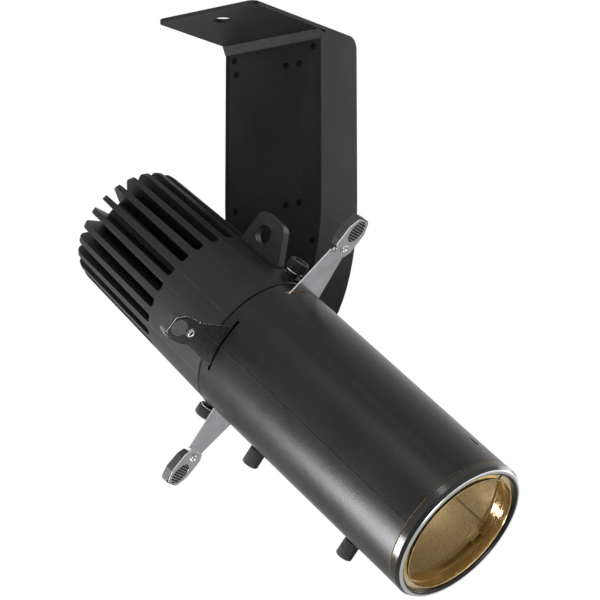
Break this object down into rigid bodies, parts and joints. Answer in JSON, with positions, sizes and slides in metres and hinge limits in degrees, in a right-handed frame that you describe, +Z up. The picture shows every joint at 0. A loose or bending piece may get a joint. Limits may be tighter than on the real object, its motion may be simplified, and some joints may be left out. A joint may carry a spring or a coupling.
{
  "type": "ellipsoidal spotlight",
  "caption": "Hanging profile spotlight: finned LED housing, rotating lens barrel with sliding shutter blades and focus knobs, single-arm bracket with built-in driver.",
  "frame": {"origin": "centre of the hanging hole, on the top plate's upper face", "axes": "+Z up out of the top plate; +X towards the arm and along the tilt axis; the beam leaves towards -Y and down"},
  "size_m": [0.2272, 0.3259, 0.3963],
  "materials": {
    "arm_paint": "fine-textured black powder coat",
    "housing_paint": "die-cast aluminium, black powder coat",
    "barrel_paint": "aluminium, fine-textured black powder coat",
    "black_steel": "blackened steel",
    "knob_black": "black anodised, knurled",
    "bright_steel": "polished stainless steel",
    "black_plastic": "black moulded plastic",
    "chrome": "polished",
    "gold": "gold speckled finish",
    "glass": "clear optical glass",
    "white_plastic": "white moulded plastic",
    "phosphor": "yellow phosphor under silicone",
    "board": "white-masked metal-core board",
    "mirror": "bright reflector metal"
  },
  "bodies": {
    "bracket": {"yoke_bracket": "arm_paint", "driver_cover": "arm_paint", "cover_screw_1": "black_steel", "cover_screw_2": "black_steel", "cover_screw_3": "black_steel", "cover_screw_4": "black_steel", "cover_screw_5": "black_steel", "cover_screw_6": "black_steel", "cover_screw_7": "black_steel", "cover_screw_8": "black_steel", "cover_screw_9": "black_steel", "cover_screw_10": "black_steel", "led_driver": "white_plastic", "terminal_block": "white_plastic", "cable_gland": "black_plastic", "pivot_tube": "bright_steel"},
    "tilt_lock": {"tilt_knob": "black_plastic"},
    "head": {"rear_housing": "housing_paint", "pivot_shaft": "bright_steel", "pivot_washer": "black_plastic", "led_board": "board", "led_chip": "phosphor", "cob_holder": "white_plastic", "reflector": "mirror"},
    "lock_top": {"lock_screw_top": "black_steel"},
    "lock_bottom": {"lock_screw_bottom": "black_steel"},
    "barrel": {"barrel_upper": "barrel_paint", "barrel_lower": "barrel_paint", "access_hatch": "barrel_paint", "gate_rear": "black_steel", "gate_front": "black_steel", "liner_upper": "gold", "liner_lower": "gold", "front_bezel": "chrome", "snap_ring": "gold"},
    "focus_carriage_rear": {"carriage_rear": "black_plastic", "lens_rear": "glass"},
    "focus_lock_rear": {"focus_knob_rear": "knob_black"},
    "focus_carriage_front": {"carriage_front": "black_plastic", "lens_front": "glass"},
    "focus_lock_front": {"focus_knob_front": "knob_black"},
    "shutter_bottom": {"blade_bottom": "bright_steel", "grip_bottom": "black_plastic", "rivet_bottom": "bright_steel"},
    "shutter_right": {"blade_right": "bright_steel", "grip_right": "black_plastic", "rivet_right": "bright_steel"},
    "shutter_left": {"blade_left": "bright_steel", "grip_left": "black_plastic", "rivet_left": "bright_steel"},
    "shutter_top": {"blade_top": "bright_steel", "grip_top": "black_plastic", "rivet_top": "bright_steel"}
  },
  "joints": [
    {"name": "head_tilt", "type": "hinge", "parent": "bracket", "child": "head", "pos_m": [0, 0, -0.204], "axis": [1, 0, 0], "range_deg": [-39, 129]},
    {"name": "tilt_knob_turn", "type": "hinge", "parent": "bracket", "child": "tilt_lock", "pos_m": [0.105, 0, -0.204], "axis": [1, 0, 0], "range_deg": [-180, 180]},
    {"name": "barrel_rotate", "type": "hinge", "parent": "head", "child": "barrel", "pos_m": [0, -0.03154, -0.23019], "axis": [0, -0.7694, -0.6388], "range_deg": [-25, 25]},
    {"name": "lock_screw_top_turn", "type": "hinge", "parent": "head", "child": "lock_top", "pos_m": [0, -0.0618, -0.18122], "axis": [0, -0.6388, 0.7694], "range_deg": [-180, 180]},
    {"name": "lock_screw_bottom_turn", "type": "hinge", "parent": "head", "child": "lock_bottom", "pos_m": [0, 0.01102, -0.26893], "axis": [0, 0.6388, -0.7694], "range_deg": [-180, 180]},
    {"name": "focus_rear_slide", "type": "slide", "parent": "barrel", "child": "focus_carriage_rear", "axis": [0, -0.7694, -0.6388], "range_m": [-0.012, 0.038]},
    {"name": "focus_knob_rear_turn", "type": "hinge", "parent": "focus_carriage_rear", "child": "focus_lock_rear", "pos_m": [0, -0.0282, -0.30279], "axis": [0, 0.6388, -0.7694], "range_deg": [-180, 180]},
    {"name": "focus_front_slide", "type": "slide", "parent": "barrel", "child": "focus_carriage_front", "axis": [0, -0.7694, -0.6388], "range_m": [-0.036, 0.024]},
    {"name": "focus_knob_front_turn", "type": "hinge", "parent": "focus_carriage_front", "child": "focus_lock_front", "pos_m": [0, -0.10283, -0.36475], "axis": [0, 0.6388, -0.7694], "range_deg": [-180, 180]},
    {"name": "shutter_bottom_slide", "type": "slide", "parent": "barrel", "child": "shutter_bottom", "axis": [0.2079, -0.6248, 0.7526], "range_m": [0, 0.026]},
    {"name": "shutter_right_slide", "type": "slide", "parent": "barrel", "child": "shutter_right", "axis": [-0.9903, -0.0889, 0.1071], "range_m": [0, 0.026]},
    {"name": "shutter_left_slide", "type": "slide", "parent": "barrel", "child": "shutter_left", "axis": [0.9877, 0.0999, -0.1204], "range_m": [0, 0.026]},
    {"name": "shutter_top_slide", "type": "slide", "parent": "barrel", "child": "shutter_top", "axis": [-0.1392, 0.6326, -0.7619], "range_m": [0, 0.026]}
  ]
}
